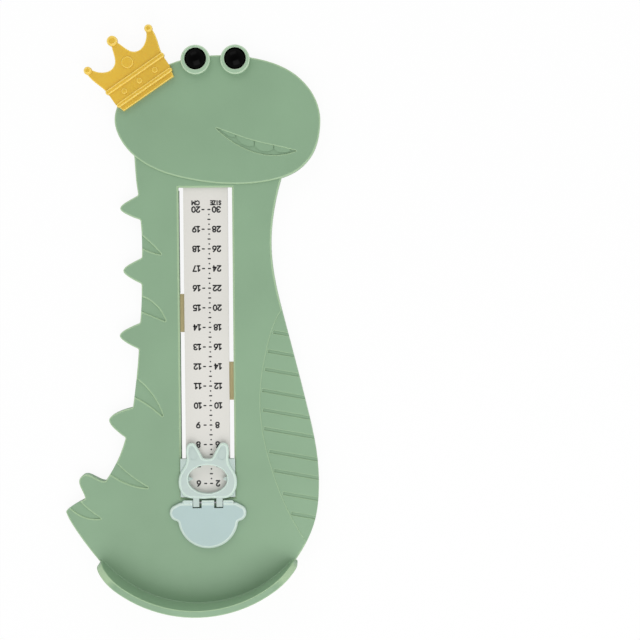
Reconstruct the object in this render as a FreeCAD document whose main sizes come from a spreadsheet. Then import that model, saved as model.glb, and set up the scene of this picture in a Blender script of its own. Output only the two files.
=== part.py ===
import FreeCAD, Part
import Sketcher
import math
import os

# Foot gauge in the shape of a dinosaur that lies on its back cover, for measuring a child's foot.
# The foot stands on the plate with its heel against the curved wall, and a slider with a hinged
# toe flap runs along a printed strip.  Every sketch is drawn in the frame of the scale: X = 0 is
# the strip's centre line, Y = 0 the scale's zero, Y grows from the heel to the head, and Z = 0 is
# the table.  frame_x and frame_y then carry each body into the part's own frame, whose origin is
# the middle of the base on the table.  Lengths are millimetres and angles degrees.

SIZES = [
    # the part's own frame
    ("frame_x", 7.0, "shift from the scale's frame to the part's frame"),
    ("frame_y", -144.1, "the same shift along the scale"),
    # plate moulding
    ("plate_height", 7.0, "table to the surface that the foot stands on"),
    ("skin", 1.8, "thickness of the top skin"),
    ("rim_wall", 2.2, "wall that runs down all round to the table"),
    ("rib_wall", 1.4, "ribs and the frame around the window"),
    ("rib_first", 16.0, "middle of a bracket to the first rib each side of it"),
    ("rib_pitch", 30.0, "distance between the further ribs"),
    ("edge_round", 0.9, "rounding of the upper edges"),
    ("corner_round", 1.3, "rounding of the outline's corners"),
    ("neck_overlap", 15.0, "how far the neck runs in below the middle of the head"),
    ("neck_left", -36.0, "left side of the neck where it ends inside the head"),
    ("neck_right", 42.5, "right side of the neck where it ends inside the head"),
    ("cell_least", 10.0, "least distance from a rib to an end of the window's frame"),
    # window and scale
    ("scale_end", 200.0, "heel to the last mark"),
    ("window_width", 27.2, "clear width of the long window"),
    ("window_above", 11.1, "window beyond the last mark"),
    ("stop_gap", 0.5, "slider at rest to the lower end of the window"),
    ("window_bevel", 0.9, "bevel along the window's upper edges"),
    # heel wall
    ("heel_x", -5.6, "centre of the wall's arc across the plate"),
    ("heel_radius", 64.0, "inner face of the wall"),
    ("heel_back", 1.4, "lowest point of the inner face behind the scale's zero"),
    ("heel_angle", 49.4, "half of the wall's arc"),
    ("heel_wall", 3.5, "thickness of the wall"),
    ("heel_height", 19.5, "wall above the plate"),
    ("heel_fillet", 0.5, "fillet at the foot of the wall"),
    ("heel_end_round", 15.5, "rounding of the wall's ends, seen from the side"),
    ("heel_rim_round", 0.6, "rounding along the wall's rim"),
    # head
    ("head_x", 6.6, "middle of the head across the plate"),
    ("head_gap", 1.7, "plate between the window and the head"),
    ("head_half_width", 52.0, "half of the head's width"),
    ("head_half_depth", 32.5, "half of the head's height in plan"),
    ("head_step", 1.0, "head's face above the plate"),
    # marks cut in the surface
    ("spot_depth", 1.0, "claw-shaped recesses along the back"),
    ("spot_round", 0.2, "rounding of a recess at its tip"),
    ("belly_step", 0.4, "belly field below the plate"),
    ("belly_round", 0.35, "rounding of the plate along the belly field"),
    ("groove_depth", 0.7, "belly grooves below the belly field"),
    ("groove_width", 1.6, "width of a belly groove"),
    ("groove_start", 0.85, "edge of the belly field to the start of a groove"),
    ("groove_round", 0.35, "rounding of a groove's edges"),
    ("groove_slope", -10.3, "angle of the grooves to the X axis"),
    ("mouth_depth", 0.9, "depth of the mouth"),
    ("mouth_corner", 0.15, "rounding of the mouth at its two ends"),
    ("lip_round", 0.5, "rounding of the mouth's edge"),
    ("tooth_drop", 0.35, "teeth below the head's face"),
    # eyes
    ("eye_left", -10.7, "left eye from the middle of the head"),
    ("eye_right", 9.3, "right eye from the middle of the head"),
    ("eye_drop", 2.5, "eyes below the head's upper edge"),
    ("eye_radius", 7.4, "outer radius of an eye ring"),
    ("eye_seat_inset", 0.9, "head's seat inside the eye ring"),
    ("eye_height", 3.2, "eye ring above the head"),
    ("eye_floor", 1.0, "floor of the eye ring"),
    ("pupil_radius", 5.4, "radius of the black dome"),
    ("pupil_gap", 0.1, "gap round the black dome"),
    ("pupil_height", 3.6, "dome above the floor of its ring"),
    ("pupil_up", 0.5, "dome above the middle of its ring, across the plate"),
    ("ring_round", 0.8, "rounding of the ring's outer edge"),
    ("bore_round", 0.3, "rounding of the edge around the dome"),
    ("pupil_edge", 1.2, "straight edge below the dome"),
    ("peg_radius", 1.4, "pegs of the crown and the eyes"),
    ("peg_length", 2.8, "length of those pegs"),
    ("peg_room", 0.05, "gap round and below a peg"),
    # printed strip
    ("strip_width", 22.6, "width of the printed strip"),
    ("strip_thickness", 1.6, "thickness of the strip and its end lugs"),
    ("strip_past", 8.0, "strip past each end of the window"),
    ("lug_half_width", 19.5, "half of the width of an end lug"),
    ("lug_gap", 0.6, "end of the window to the lug"),
    ("lug_length", 10.8, "length of a lug along the scale"),
    ("lug_room", 1.6, "free space around a lug"),
    # brackets that carry the strip at mid-length
    ("bracket_left_y", 147.3, "middle of the left bracket"),
    ("bracket_right_y", 112.4, "middle of the right bracket"),
    ("bracket_length", 19.5, "length along the scale"),
    ("bracket_thickness", 1.2, "thickness of the bracket's strap"),
    ("bracket_level", 1.0, "table to the strap"),
    ("bracket_outer", 22.0, "outer end from the centre line"),
    ("bracket_inner", 2.0, "inner end from the centre line"),
    ("bracket_rise", 7.5, "outer side of the block below the strip"),
    ("bracket_room", 0.3, "gap round a bracket in the window's frame"),
    # screws
    ("screw_radius", 0.9, "thread of a screw"),
    ("screw_length", 4.2, "screw below its head"),
    ("screw_head_radius", 1.9, "radius of a screw's head"),
    ("screw_head_height", 0.8, "height of a screw's head"),
    ("screw_clearance", 0.2, "gap round a screw in the piece it holds"),
    ("screw_spread", 16.6, "centre line to the screws of a lug"),
    ("bracket_screw", 18.6, "centre line to the screw of a bracket"),
    ("boss_radius", 2.6, "bosses that take the screws"),
    ("hole_past", 0.3, "hole past the tip of its screw"),
    ("drive_slot", 0.5, "width of the slot in a screw's head"),
    ("drive_depth", 0.4, "depth of the slot in a screw's head"),
    # slider
    ("index_y", 62.7, "heel to the index, slider at rest"),
    ("slide_gap", 0.2, "sliding clearance of the slider"),
    ("carriage_above", 10.3, "carriage above the index"),
    ("carriage_below", 9.2, "carriage below the index"),
    ("shoulder_overlap", 0.4, "shoulder of the carriage over each side of the window"),
    ("face_thickness", 1.8, "thickness of the rabbit face"),
    ("face_round", 1.5, "rounding of the face's upper edge"),
    ("face_half_width", 15.0, "half of the face's width"),
    ("eye_hole_half_width", 10.0, "half of the reading hole's width"),
    ("eye_hole_half_height", 7.3, "half of the reading hole's height"),
    ("pointer_length", 2.6, "index pointers into the reading hole"),
    ("pointer_half_width", 1.9, "half of the root of a pointer"),
    ("ear_recess", 0.3, "depth of the hollow of an ear"),
    ("leg_thickness", 1.5, "legs that go through the slots"),
    ("leg_margin", 2.5, "end of a leg from the end of the carriage"),
    ("hook_reach", 1.6, "hooks under the strip's edges"),
    ("hook_thickness", 1.0, "thickness of the hooks"),
    # hinge and toe flap
    ("hinge_below", 12.0, "hinge axis below the index"),
    ("barrel_radius", 1.25, "knuckles of the hinge, and half of the flap's thickness"),
    ("flap_gap", 0.3, "flap above the plate"),
    ("flap_round", 1.6, "rounding of the flap's upper edge"),
    ("flap_half_top", 13.3, "half of the flap's straight upper edge"),
    ("knuckle_taper", 0.9, "taper of the flap's outer knuckles at their ends"),
    ("flap_below", 8.2, "centre of the flap's disc below the hinge"),
    ("flap_radius", 15.4, "radius of the flap's disc"),
    ("lobe_radius", 4.3, "radius of the flap's side lobes"),
    ("lobe_x", 15.3, "centre of a lobe from the centre line"),
    ("lobe_below", 5.3, "centre of a lobe below the hinge"),
    ("arm_inner", 4.4, "inner side of the slider's hinge arms"),
    ("arm_outer", 7.5, "outer side of the slider's hinge arms"),
    ("arm_past", 2.1, "arms past the hinge axis"),
    ("arm_gap", 0.3, "gap beside the arms and beyond the circle that their corners sweep"),
    ("tongue_half_width", 3.2, "half of the flap's middle knuckle"),
    ("pin_radius", 0.6, "hinge pin"),
    ("pin_clearance", 0.05, "running clearance of the pin in the arms"),
    ("pin_inset", 0.3, "ends of the pin inside the flap's sides"),
    # crown
    ("crown_tilt", 34.3, "turn of the crown about Z"),
    ("crown_plate", 2.6, "thickness of the crown"),
    ("crown_ridge", 3.9, "height of the crown's two ridges"),
    ("crown_band", 2.9, "height of the band between the ridges"),
    ("crown_round", 0.6, "rounding of the crown's upper edges"),
    ("ridge_round", 0.9, "rounding of the two ridges"),
    ("stud_radius", 1.5, "small studs on the band"),
    ("stud_height", 0.7, "small studs above the band"),
    ("gem_radius", 3.0, "large stud"),
    ("gem_height", 0.8, "large stud above the crown"),
    ("ball_radius", 2.7, "ball of the middle point"),
    ("side_ball_radius", 2.05, "balls of the side points"),
    ("ball_height", 4.0, "height of the balls"),
    ("ball_round", 1.5, "rounding of the balls"),
    ("crown_peg_u", 8.0, "pegs from the crown's middle"),
    ("crown_peg_v", 2.6, "pegs from the crown's lower edge"),
]

# Outline of the plate down the back, from the neck to the tail: smooth stretches that meet at
# corners, five of them spines with a rounded tip.
BACK = [
    [(-35.0, 215.0), (-34.0, 207.5)],
    [(-34.0, 207.5), (-39.0, 204.7), (-43.2, 200.6), (-40.0, 197.8), (-33.0, 195.0)],
    [(-33.0, 195.0), (-32.4, 185.0), (-32.5, 175.7)],
    [(-32.5, 175.7), (-37.6, 173.2), (-42.0, 169.0), (-39.0, 165.8), (-32.8, 162.5)],
    [(-32.8, 162.5), (-33.0, 152.0), (-33.8, 142.5)],
    [(-33.8, 142.5), (-39.4, 140.2), (-44.2, 136.0), (-41.0, 132.6), (-34.6, 129.3)],
    [(-34.6, 129.3), (-36.0, 114.0), (-38.0, 99.3)],
    [(-38.0, 99.3), (-44.6, 97.4), (-50.2, 93.0), (-47.4, 88.4), (-41.8, 84.0)],
    [(-41.8, 84.0), (-46.4, 71.8), (-52.5, 61.6)],
    [(-52.5, 61.6), (-58.0, 63.6), (-63.4, 65.0), (-65.6, 63.0), (-64.5, 57.0), (-62.8, 52.6)],
    [(-62.8, 52.6), (-67.6, 50.1), (-73.0, 46.5)],
    [(-73.0, 46.5), (-71.2, 42.2), (-68.8, 38.1), (-59.4, 24.8)],
]

# Outline of the plate up the belly side, from the heel wall to the neck.
BELLY = [
    (50.3, 30.0), (54.3, 40.0), (56.6, 56.0), (55.6, 76.0), (51.4, 97.0), (45.8, 120.0),
    (39.4, 145.0), (34.4, 168.0), (33.3, 182.0), (34.6, 198.0), (38.5, 215.0),
]

# Plate without its spines down the back, for the hollow below it.
BACK_INNER = [
    (-35.0, 215.0), (-32.2, 188.0), (-32.6, 160.0), (-36.0, 114.0), (-41.8, 84.0), (-52.5, 61.0),
    (-61.0, 52.0), (-69.0, 42.0), (-62.3, 28.6), (-54.5, 21.0),
]

# Head in shares of its half width and half depth, counter-clockwise from the snout.
HEAD = [
    (1.0, -0.092), (0.935, 0.375), (0.737, 0.72), (0.415, 0.932), (-0.012, 0.997),
    (-0.367, 0.917), (-0.723, 0.645), (-0.93, 0.335), (-1.0, 0.031), (-0.935, -0.323),
    (-0.704, -0.683), (-0.319, -0.911), (0.2, -1.003), (0.546, -0.942), (0.777, -0.794),
    (0.931, -0.523),
]

# The plate's outline ends inside the heel wall, this many degrees short of the wall's ends.
CORNER_INSIDE = 3.0

# Cells beside the heel wall: side, levels of their points on the rim, X of their corner on the wall.
HEEL_CELLS = [(-1, [42.0, 30.0], -48.0), (1, [38.0, 31.0], 42.0)]

# The cells below the head end on an oval: its exponent, and the largest share of its half width.
OVAL_POWER = 2.1
OVAL_SHARE = 0.97
OVAL_STEPS = 4

# Claw-shaped recesses: the upper side from the back to the tip, and the lower side back again.
SPOTS = [
    ([(-35.5, 189.6), (-27.0, 182.0), (-22.5, 177.3)], [(-22.5, 177.3), (-28.0, 178.8), (-35.5, 182.8)]),
    ([(-36.0, 156.8), (-26.8, 152.4), (-20.8, 143.3)], [(-20.8, 143.3), (-27.0, 146.0), (-36.0, 149.8)]),
    ([(-39.0, 116.2), (-29.5, 107.6), (-22.6, 94.5)], [(-22.6, 94.5), (-29.0, 100.0), (-40.5, 106.4)]),
    ([(-49.0, 73.4), (-39.6, 64.2), (-30.2, 58.0)], [(-30.2, 58.0), (-40.0, 60.0), (-52.5, 67.6)]),
    ([(-67.2, 52.8), (-61.0, 46.8), (-54.9, 42.4)], [(-54.9, 42.4), (-61.5, 42.9), (-72.4, 50.2)]),
]

# Edge of the belly field, from the neck to the heel, and where the grooves start on it.
FIELD = [
    (41.0, 152.5), (34.2, 141.0), (30.6, 129.0), (27.3, 109.0), (27.7, 90.0), (32.5, 68.0),
    (41.0, 45.5), (53.5, 25.5),
]
GROOVES = [137.5, 127.8, 118.5, 107.8, 97.8, 88.2, 76.5, 66.6, 54.9, 44.4]

# Mouth, from its corner: upper lip, lower lip and the lower edges of four teeth.
LIP_UPPER = [(-19.5, 5.1), (-10.0, 1.5), (0.0, -1.8), (10.0, -4.2), (21.5, -7.0)]
LIP_LOWER = [(21.5, -7.0), (12.0, -9.0), (5.0, -8.6), (-5.0, -5.4), (-19.5, 5.1)]
TEETH = [
    [(-16.5, 3.6), (-14.0, 1.6), (-11.5, 0.4), (-9.4, 0.2)],
    [(-8.9, 0.0), (-7.0, -2.4), (-4.0, -4.2), (-0.1, -4.4)],
    [(0.4, -4.2), (2.2, -6.1), (6.0, -7.2), (9.7, -5.9)],
    [(10.2, -6.0), (12.4, -7.5), (15.4, -7.7), (18.2, -7.2)],
]
TOOTH_ROOT = 2.6

# Right half of the rabbit face with its ear, from the middle of its lower edge to the notch
# between the ears: X in shares of the face's half width, Y from the index.
FACE = [
    (0.0, -10.0), (0.43, -10.0), (0.78, -8.8), (0.92, -6.3), (0.995, -1.5), (0.95, 2.3),
    (0.86, 4.8), (0.765, 7.2), (0.715, 9.8), (0.73, 13.2), (0.715, 16.2), (0.655, 18.0),
    (0.55, 18.6), (0.44, 18.2), (0.365, 16.8), (0.29, 14.8), (0.21, 12.5), (0.15, 11.0), (0.0, 10.5),
]
EAR_HOLLOW = [(0.35, 11.2), (0.39, 14.4), (0.51, 16.6), (0.6, 15.0), (0.61, 11.4), (0.5, 9.9)]

# Right side of the crown up to the side point's ball, and the dip between two points.
CROWN_SIDE = [(15.3, 0.0), (16.6, 8.0), (17.3, 14.4), (19.0, 20.0), (19.9, 25.8)]
CROWN_DIP = [(16.8, 26.4), (14.9, 23.6), (12.1, 21.5), (8.6, 20.7), (5.5, 22.0), (3.6, 25.0), (1.8, 30.0)]
CROWN_SIDE_BALL = (18.6, 26.9)
CROWN_BALL = (0.0, 32.1)
CROWN_GEM = (0.2, 19.0)
CROWN_STUDS = [(-9.3, 8.0), (0.0, 8.0), (9.4, 8.0)]
CROWN_RIDGES = [(16.8, 2.5, 4.9), (17.7, 10.8, 13.4)]
CROWN_ANCHOR = (-0.66, 0.40)
MOUTH_ANCHOR = (0.354, -0.277)

# Toe flap: angles of the points on a lobe's arc, half angle of the disc's arc, and the share of a
# lobe's radius between the lobe's centre and the end of the straight upper edge.
LOBE_ANGLES = [-75.0, -10.0, 50.0]
DISC_ANGLE = 84.0
LOBE_SHARE = 0.25

# Sine and cosine of the middle of a quarter turn.
DIAGONAL = math.sqrt(0.5)
# Kind of a straight edge.
LINE = "Part::GeomLine"
# How far a cut, or the box of a search, runs past what it has to reach.
BEYOND = 1.0
# Edges count as lying at a level, or as upright, within this much.
FLAT = 0.001

doc = FreeCAD.newDocument("foot_gauge")
sheet = doc.addObject("Spreadsheet::Sheet", "Sizes")
for row, (alias, number, note) in enumerate(SIZES, start=1):
    sheet.set(f"A{row}", note)
    sheet.set(f"B{row}", str(number))
    sheet.setAlias(f"B{row}", alias)
doc.recompute()


class Size:
    """A length from the sheet or worked out from it: its number and the expression that binds it."""

    def __init__(self, number, text):
        self.number = float(number)
        self.text = text

    @staticmethod
    def of(other):
        return other if isinstance(other, Size) else Size(other, repr(float(other)))

    def __add__(self, other):
        other = Size.of(other)
        return Size(self.number + other.number, f"({self.text} + {other.text})")

    def __sub__(self, other):
        other = Size.of(other)
        return Size(self.number - other.number, f"({self.text} - {other.text})")

    def __mul__(self, other):
        other = Size.of(other)
        return Size(self.number * other.number, f"({self.text} * {other.text})")

    def __truediv__(self, other):
        other = Size.of(other)
        return Size(self.number / other.number, f"({self.text} / {other.text})")

    def __neg__(self):
        return Size(-self.number, f"(0 - {self.text})")

    def __float__(self):
        return self.number


class Sizes:
    """The sheet's cells by name, each as a Size."""

    def __getattr__(self, alias):
        return Size(sheet.get(alias), f"Sizes.{alias}")


s = Sizes()

# Levels and places that several pieces share.
skin_under = s.plate_height - s.skin
head_top = s.plate_height + s.head_step
window_top = s.scale_end + s.window_above
window_bottom = s.index_y - s.carriage_below - s.stop_gap
window_side = s.window_width / 2
head_y = window_top + s.head_gap + s.head_half_depth
heel_y = s.heel_radius - s.heel_back
strip_under = skin_under - s.strip_thickness
strip_side = s.strip_width / 2
lug_under = strip_under - s.strip_thickness
lug_middle = s.lug_gap + s.lug_length / 2
bracket_top = s.bracket_level + s.bracket_thickness
hinge_y = s.index_y - s.hinge_below
hinge_z = s.plate_height + s.flap_gap + s.barrel_radius
arm_sweep = Size(math.hypot(float(s.arm_past), float(s.barrel_radius)),
                 f"sqrt({s.arm_past.text} ^ 2 + {s.barrel_radius.text} ^ 2)")
face_under = head_top + s.slide_gap
wall_middle = s.heel_radius + s.heel_wall / 2


def vector(point):
    return FreeCAD.Vector(float(point[0]), float(point[1]), 0)


def stretch(points):
    """A straight line through two points, or a smooth curve through more."""
    if len(points) == 2:
        return Part.LineSegment(vector(points[0]), vector(points[1]))
    curve = Part.BSplineCurve()
    curve.interpolate([vector(point) for point in points])
    return curve


def closed_curve(points):
    """A smooth closed curve."""
    curve = Part.BSplineCurve()
    curve.interpolate(Points=[vector(point) for point in points], PeriodicFlag=True)
    return curve


def polygon(points):
    """Straight lines round a closed outline."""
    return [stretch([points[i - 1], points[i]]) for i in range(len(points))]


def mirrored(points):
    """The same points on the other side of the centre line, in the opposite order."""
    return [(-x, y) for x, y in reversed(points)]


def shifted(points, x, y):
    return [(px + float(x), py + float(y)) for px, py in points]


def height_at(points, y):
    """X on an outline of straight runs that is given from a high Y to a low one."""
    for (x0, y0), (x1, y1) in zip(points, points[1:]):
        if y0 >= y >= y1:
            return x0 + (x1 - x0) * (y0 - y) / (y0 - y1)
    return points[0][0] if y > points[0][1] else points[-1][0]


def new_body(label, x=0.0, y=0.0, z=0.0, turn=0.0):
    """A body named after its node, carried from a place in the scale's frame into the part's frame."""
    body = doc.addObject("PartDesign::Body", label)
    body.Label = label
    body.AllowCompound = True
    body.Placement = FreeCAD.Placement(FreeCAD.Vector(), FreeCAD.Rotation(float(turn), 0, 0))
    body.setExpression("Placement.Base.x", (s.frame_x + x).text)
    body.setExpression("Placement.Base.y", (s.frame_y + y).text)
    body.setExpression("Placement.Base.z", Size.of(z).text)
    return body


def new_sketch(body, name, level=0.0, plane="XY_Plane"):
    """An empty sketch on one of the body's own planes, moved along the plane's normal."""
    sketch = body.newObject("Sketcher::SketchObject", name)
    support = [item for item in body.Origin.OriginFeatures if item.Role == plane]
    sketch.AttachmentSupport = [(support[0], "")]
    sketch.MapMode = "FlatFace"
    level = Size.of(level)
    sketch.AttachmentOffset = FreeCAD.Placement(FreeCAD.Vector(0, 0, level.number), FreeCAD.Rotation())
    sketch.setExpression("AttachmentOffset.Base.z", level.text)
    return sketch


def bind(sketch, kind, first, point, value):
    """Hold a point of the sketch at a bound distance from the sketch's origin."""
    value = Size.of(value)
    index = sketch.addConstraint(Sketcher.Constraint(kind, -1, 1, first, point, value.number))
    sketch.setExpression(f"Constraints[{index}]", value.text)


def add_rectangle(sketch, x0, x1, y0, y1):
    """A rectangle whose four sides are bound to sizes."""
    corners = [(x0, y0), (x1, y0), (x1, y1), (x0, y1)]
    first = sketch.GeometryCount
    for i in range(4):
        sketch.addGeometry(stretch([corners[i], corners[(i + 1) % 4]]), False)
    for i in range(4):
        sketch.addConstraint(Sketcher.Constraint("Coincident", first + i, 2, first + (i + 1) % 4, 1))
    for i, kind in enumerate(["Horizontal", "Vertical", "Horizontal", "Vertical"]):
        sketch.addConstraint(Sketcher.Constraint(kind, first + i))
    bind(sketch, "DistanceX", first, 1, x0)
    bind(sketch, "DistanceY", first, 1, y0)
    bind(sketch, "DistanceX", first + 2, 1, x1)
    bind(sketch, "DistanceY", first + 2, 1, y1)


def add_circle(sketch, x, y, radius):
    """A circle whose centre and radius are bound to sizes."""
    x, y, radius = Size.of(x), Size.of(y), Size.of(radius)
    circle = Part.Circle(vector((x, y)), FreeCAD.Vector(0, 0, 1), radius.number)
    first = sketch.addGeometry(circle, False)
    bind(sketch, "DistanceX", first, 3, x)
    bind(sketch, "DistanceY", first, 3, y)
    index = sketch.addConstraint(Sketcher.Constraint("Radius", first, radius.number))
    sketch.setExpression(f"Constraints[{index}]", radius.text)


def add_outline(sketch, curves):
    """Lines and curves that are worked out from the sizes."""
    for curve in curves:
        sketch.addGeometry(curve, False)


def pad(body, sketch, length, down=False):
    """Material from the sketch upwards, or downwards."""
    feature = body.newObject("PartDesign::Pad", sketch.Name + "_pad")
    feature.Profile = sketch
    feature.setExpression("Length", Size.of(length).text)
    feature.Reversed = down
    feature.Refine = False
    body.Tip = feature
    return feature


def pocket(body, sketch, depth, down=False):
    """A cut of a bound depth from the sketch upwards, or downwards."""
    feature = body.newObject("PartDesign::Pocket", sketch.Name + "_pocket")
    feature.Profile = sketch
    feature.setExpression("Length", Size.of(depth).text)
    feature.Reversed = not down
    feature.Refine = False
    body.Tip = feature
    return feature


def revolve(body, sketch, angle=360.0, axis="V_Axis"):
    """The sketch turned about one of its own axes, the same way to both sides."""
    feature = body.newObject("PartDesign::Revolution", sketch.Name + "_turned")
    feature.Profile = sketch
    feature.ReferenceAxis = (sketch, [axis])
    feature.setExpression("Angle", Size.of(angle).text)
    feature.Midplane = True
    feature.Refine = False
    body.Tip = feature
    return feature


def edges_at(feature, z, inside=None):
    """Names of the edges that lie at one level, inside a box of (x0, x1, y0, y1) if it is given."""
    names = []
    for number, edge in enumerate(feature.Shape.Edges, start=1):
        box = edge.BoundBox
        level = abs(box.ZMin - float(z)) < FLAT and abs(box.ZMax - float(z)) < FLAT
        if inside is not None and level:
            x0, x1, y0, y1 = [float(value) for value in inside]
            level = box.XMin > x0 - BEYOND and box.XMax < x1 + BEYOND
            level = level and box.YMin > y0 - BEYOND and box.YMax < y1 + BEYOND
        if level:
            names.append(f"Edge{number}")
    return names


def dress(body, kind, base, names, size, value):
    """A fillet or chamfer on named edges of the last feature."""
    feature = body.newObject(kind, base.Name + "_" + size.lower())
    feature.Base = (base, names)
    feature.setExpression(size, Size.of(value).text)
    feature.Refine = False
    body.Tip = feature
    return feature


def fillet(body, base, names, radius):
    return dress(body, "PartDesign::Fillet", base, names, "Radius", radius)


def chamfer(body, base, names, width):
    return dress(body, "PartDesign::Chamfer", base, names, "Size", width)


def head_point(u, v):
    """A point in shares of the head's half sizes."""
    return float(s.head_x) + u * float(s.head_half_width), float(head_y) + v * float(s.head_half_depth)


def crown_point(u, v):
    """A point of the crown's own frame, in the frame of the scale."""
    x, y = head_point(*CROWN_ANCHOR)
    turn = math.radians(float(s.crown_tilt))
    return x + u * math.cos(turn) - v * math.sin(turn), y + u * math.sin(turn) + v * math.cos(turn)


def heel_point(radius, angle):
    """A point on an arc of the heel wall, by its angle from the middle of the wall."""
    turn = math.radians(angle)
    return float(s.heel_x) + radius * math.sin(turn), float(heel_y) - radius * math.cos(turn)


EYES = [("left", s.eye_left), ("right", s.eye_right)]
eye_y = head_y + s.head_half_depth - s.eye_drop


def screw_places():
    """Where the screws stand: X, Y and the level of the face that their heads bear on."""
    places = []
    for y in (window_top + lug_middle, window_bottom - lug_middle):
        for x in (-s.screw_spread, s.screw_spread):
            places.append((x, y, lug_under))
    places.append((-s.bracket_screw, s.bracket_left_y, s.bracket_level))
    places.append((s.bracket_screw, s.bracket_right_y, s.bracket_level))
    return places


def plate_outline():
    """The plate without its head, ending in the middle of the heel wall."""
    angle = float(s.heel_angle)
    middle = float(wall_middle)
    left = heel_point(middle, CORNER_INSIDE - angle)
    right = heel_point(middle, angle - CORNER_INSIDE)
    heel = Part.Arc(vector(left), vector(heel_point(middle, 0.0)), vector(right))
    neck_y = float(head_y - s.neck_overlap)
    neck_left = (float(s.neck_left), neck_y)
    neck_right = (float(s.neck_right), neck_y)
    curves = [stretch([neck_right, neck_left]), stretch([neck_left, BACK[0][0]])]
    curves += [stretch(points) for points in BACK[:-1]]
    curves.append(stretch(BACK[-1] + [left]))
    curves.append(heel)
    curves.append(stretch([right] + BELLY))
    curves.append(stretch([BELLY[-1], neck_right]))
    return curves


def add_heel_wall(body):
    """The upright wall round the heel, with a rounded rim and ends and a fillet at its foot."""
    top = float(s.plate_height + s.heel_height)
    inner = -float(s.heel_radius)
    outer = inner - float(s.heel_wall)
    foot = float(s.heel_fillet)
    plate = float(s.plate_height)
    under = float(skin_under)
    profile = new_sketch(body, "heel_profile", s.heel_x, "YZ_Plane")
    profile.setExpression("AttachmentOffset.Base.x", heel_y.text)
    corner = (inner + foot * (1 - DIAGONAL), plate + foot * (1 - DIAGONAL))
    fillet_arc = Part.Arc(vector((inner, plate + foot)), vector(corner), vector((inner + foot, plate)))
    add_outline(profile, [
        stretch([(inner, 0), (outer, 0)]),
        stretch([(outer, 0), (outer, top)]),
        stretch([(outer, top), (inner, top)]),
        stretch([(inner, top), (inner, plate + foot)]),
        fillet_arc,
        stretch([(inner + foot, plate), (inner + foot, under)]),
        stretch([(inner + foot, under), (inner, under)]),
        stretch([(inner, under), (inner, 0)]),
    ])
    wall = revolve(body, profile, s.heel_angle * 2)
    doc.recompute()
    ends = [name for name in edges_at(wall, top) if wall.Shape.getElement(name).Curve.TypeId == LINE]
    wall = fillet(body, wall, ends, s.heel_end_round)
    doc.recompute()
    return fillet(body, wall, edges_at(wall, top), s.heel_rim_round)


def add_marks(body):
    """The belly field with its grooves, and the mouth with its teeth."""
    field = new_sketch(body, "belly_field", s.plate_height)
    last_y, first_y = FIELD[-1][1], FIELD[0][1]
    outside = max(x for x, _ in BELLY) + BEYOND
    corners = [FIELD[-1], (outside, last_y), (outside, first_y), FIELD[0]]
    add_outline(field, [stretch(FIELD)] + [stretch(corners[i:i + 2]) for i in range(3)])
    cut = pocket(body, field, s.belly_step, down=True)
    doc.recompute()
    around = (min(x for x, _ in FIELD), max(x for x, _ in FIELD), last_y, first_y)
    fillet(body, cut, edges_at(cut, s.plate_height, around), s.belly_round)

    grooves = new_sketch(body, "belly_grooves", s.plate_height)
    slope = math.radians(float(s.groove_slope))
    half = float(s.groove_width) / 2
    for y in GROOVES:
        x = height_at(FIELD, y) + float(s.groove_start)
        along = (math.cos(slope), math.sin(slope))
        across = (-along[1] * half, along[0] * half)
        reach = (outside - x) / along[0]
        far = (x + reach * along[0], y + reach * along[1])
        add_outline(grooves, polygon([
            (x - across[0], y - across[1]), (x + across[0], y + across[1]),
            (far[0] + across[0], far[1] + across[1]), (far[0] - across[0], far[1] - across[1]),
        ]))
    cut = pocket(body, grooves, s.groove_depth + s.belly_step, down=True)
    doc.recompute()
    rims = [name for name in edges_at(cut, s.plate_height - s.belly_step)
            if cut.Shape.getElement(name).Curve.TypeId == LINE]
    fillet(body, cut, rims, s.groove_round)

    x, y = head_point(*MOUTH_ANCHOR)
    mouth = new_sketch(body, "mouth", head_top)
    upper, lower = shifted(LIP_UPPER, x, y), shifted(LIP_LOWER, x, y)
    add_outline(mouth, [stretch(upper), stretch(lower)])
    cut = pocket(body, mouth, s.mouth_depth, down=True)
    doc.recompute()
    cut = fillet(body, cut, edges_beside(cut, [upper[0], upper[-1]]), s.mouth_corner)
    doc.recompute()
    around = (upper[0][0], upper[-1][0], lower[1][1], upper[0][1])
    fillet(body, cut, edges_at(cut, head_top, around), s.lip_round)
    teeth = new_sketch(body, "teeth", head_top - s.mouth_depth)
    for tooth in TEETH:
        edge = shifted(tooth, x, y)
        roots = [(edge[-1][0], edge[-1][1] + TOOTH_ROOT), (edge[0][0], edge[0][1] + TOOTH_ROOT)]
        add_outline(teeth, [stretch(edge), stretch([edge[-1], roots[0]]), stretch(roots),
                            stretch([roots[1], edge[0]])])
    return pad(body, teeth, s.mouth_depth - s.tooth_drop)


def vertical_edges(feature, height):
    """Names of the upright edges that run over the whole height: the outline's corners."""
    names = []
    for number, edge in enumerate(feature.Shape.Edges, start=1):
        box = edge.BoundBox
        if box.ZLength > float(height) - FLAT and max(box.XLength, box.YLength) < FLAT:
            names.append(f"Edge{number}")
    return names


def edges_beside(feature, places):
    """Names of the upright edges that stand at one of the given places."""
    names = []
    for number, edge in enumerate(feature.Shape.Edges, start=1):
        box = edge.BoundBox
        near = [place for place in places
                if math.hypot(box.Center.x - place[0], box.Center.y - place[1]) < FLAT]
        if near and max(box.XLength, box.YLength) < FLAT:
            names.append(f"Edge{number}")
    return names


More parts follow.
